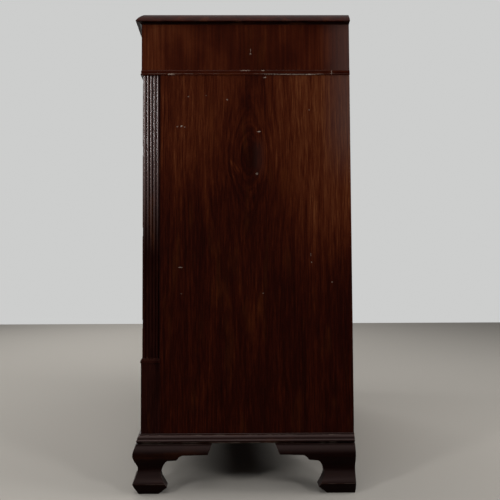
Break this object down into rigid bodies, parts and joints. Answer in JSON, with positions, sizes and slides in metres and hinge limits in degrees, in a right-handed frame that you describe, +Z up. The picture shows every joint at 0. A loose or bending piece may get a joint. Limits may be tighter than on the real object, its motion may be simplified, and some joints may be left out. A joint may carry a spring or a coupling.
{
  "type": "chest of drawers",
  "caption": "Tall mahogany chest with short drawers over long ones, reeded corner posts, moulded top and base, ogee bracket feet and swinging brass bail handles.",
  "frame": {"origin": "centre of the bounding box, on the floor under the feet", "axes": "+Z up, -Y out of the drawer fronts, +X to the right of somebody who faces the drawers"},
  "size_m": [1.0968, 0.5395, 1.1774],
  "materials": {
    "mahogany": "polished, worn",
    "drawer_linings": "bare oak, matt",
    "backboards": "rough sawn, unfinished",
    "brass": "cast and polished, aged"
  },
  "bodies": {
    "case": {"back_panel": "backboards", "base_moulding": "mahogany", "bottom_board": "mahogany", "corner_post_left": "mahogany", "corner_post_right": "mahogany", "drawer_divider": "mahogany", "foot_front_left": "mahogany", "foot_front_right": "mahogany", "foot_rear_left": "mahogany", "foot_rear_right": "mahogany", "frieze_bead": "mahogany", "frieze_board": "mahogany", "rail_1": "mahogany", "rail_2": "mahogany", "rail_3": "mahogany", "side_left": "mahogany", "side_right": "mahogany", "top_board": "mahogany", "top_cove_moulding": "mahogany"},
    "long_drawer_1": {"long_drawer_1_back": "drawer_linings", "long_drawer_1_bottom": "drawer_linings", "long_drawer_1_front": "mahogany", "long_drawer_1_handle_plate_left": "brass", "long_drawer_1_handle_plate_right": "brass", "long_drawer_1_side_left": "drawer_linings", "long_drawer_1_side_right": "drawer_linings"},
    "long_drawer_1_handle_bail_left": {"long_drawer_1_handle_bail_left": "brass"},
    "long_drawer_1_handle_bail_right": {"long_drawer_1_handle_bail_right": "brass"},
    "long_drawer_2": {"long_drawer_2_back": "drawer_linings", "long_drawer_2_bottom": "drawer_linings", "long_drawer_2_front": "mahogany", "long_drawer_2_handle_plate_left": "brass", "long_drawer_2_handle_plate_right": "brass", "long_drawer_2_side_left": "drawer_linings", "long_drawer_2_side_right": "drawer_linings"},
    "long_drawer_2_handle_bail_left": {"long_drawer_2_handle_bail_left": "brass"},
    "long_drawer_2_handle_bail_right": {"long_drawer_2_handle_bail_right": "brass"},
    "long_drawer_3": {"long_drawer_3_back": "drawer_linings", "long_drawer_3_bottom": "drawer_linings", "long_drawer_3_front": "mahogany", "long_drawer_3_handle_plate_left": "brass", "long_drawer_3_handle_plate_right": "brass", "long_drawer_3_side_left": "drawer_linings", "long_drawer_3_side_right": "drawer_linings"},
    "long_drawer_3_handle_bail_left": {"long_drawer_3_handle_bail_left": "brass"},
    "long_drawer_3_handle_bail_right": {"long_drawer_3_handle_bail_right": "brass"},
    "short_drawer_left": {"short_drawer_left_back": "drawer_linings", "short_drawer_left_bottom": "drawer_linings", "short_drawer_left_front": "mahogany", "short_drawer_left_handle_plate": "brass", "short_drawer_left_side_left": "drawer_linings", "short_drawer_left_side_right": "drawer_linings"},
    "short_drawer_left_handle_bail": {"short_drawer_left_handle_bail": "brass"},
    "short_drawer_right": {"short_drawer_right_back": "drawer_linings", "short_drawer_right_bottom": "drawer_linings", "short_drawer_right_front": "mahogany", "short_drawer_right_handle_plate": "brass", "short_drawer_right_side_left": "drawer_linings", "short_drawer_right_side_right": "drawer_linings"},
    "short_drawer_right_handle_bail": {"short_drawer_right_handle_bail": "brass"}
  },
  "joints": [
    {"name": "long_drawer_1_slide", "type": "slide", "parent": "case", "child": "long_drawer_1", "axis": [0, -1, 0], "range_m": [0, 0.36]},
    {"name": "long_drawer_1_handle_bail_left_swing", "type": "hinge", "parent": "long_drawer_1", "child": "long_drawer_1_handle_bail_left", "pos_m": [-0.2465, -0.2653, 0.2825], "axis": [-1, 0, 0], "range_deg": [0, 88]},
    {"name": "long_drawer_1_handle_bail_right_swing", "type": "hinge", "parent": "long_drawer_1", "child": "long_drawer_1_handle_bail_right", "pos_m": [0.2465, -0.2653, 0.2825], "axis": [-1, 0, 0], "range_deg": [0, 88]},
    {"name": "long_drawer_2_slide", "type": "slide", "parent": "case", "child": "long_drawer_2", "axis": [0, -1, 0], "range_m": [0, 0.36]},
    {"name": "long_drawer_2_handle_bail_left_swing", "type": "hinge", "parent": "long_drawer_2", "child": "long_drawer_2_handle_bail_left", "pos_m": [-0.2465, -0.2653, 0.5285], "axis": [-1, 0, 0], "range_deg": [0, 88]},
    {"name": "long_drawer_2_handle_bail_right_swing", "type": "hinge", "parent": "long_drawer_2", "child": "long_drawer_2_handle_bail_right", "pos_m": [0.2465, -0.2653, 0.5285], "axis": [-1, 0, 0], "range_deg": [0, 88]},
    {"name": "long_drawer_3_slide", "type": "slide", "parent": "case", "child": "long_drawer_3", "axis": [0, -1, 0], "range_m": [0, 0.36]},
    {"name": "long_drawer_3_handle_bail_left_swing", "type": "hinge", "parent": "long_drawer_3", "child": "long_drawer_3_handle_bail_left", "pos_m": [-0.2465, -0.2653, 0.749], "axis": [-1, 0, 0], "range_deg": [0, 88]},
    {"name": "long_drawer_3_handle_bail_right_swing", "type": "hinge", "parent": "long_drawer_3", "child": "long_drawer_3_handle_bail_right", "pos_m": [0.2465, -0.2653, 0.749], "axis": [-1, 0, 0], "range_deg": [0, 88]},
    {"name": "short_drawer_left_slide", "type": "slide", "parent": "case", "child": "short_drawer_left", "axis": [0, -1, 0], "range_m": [0, 0.36]},
    {"name": "short_drawer_left_handle_bail_swing", "type": "hinge", "parent": "short_drawer_left", "child": "short_drawer_left_handle_bail", "pos_m": [-0.2465, -0.2653, 0.945], "axis": [-1, 0, 0], "range_deg": [0, 88]},
    {"name": "short_drawer_right_slide", "type": "slide", "parent": "case", "child": "short_drawer_right", "axis": [0, -1, 0], "range_m": [0, 0.36]},
    {"name": "short_drawer_right_handle_bail_swing", "type": "hinge", "parent": "short_drawer_right", "child": "short_drawer_right_handle_bail", "pos_m": [0.2465, -0.2653, 0.945], "axis": [-1, 0, 0], "range_deg": [0, 88]}
  ]
}
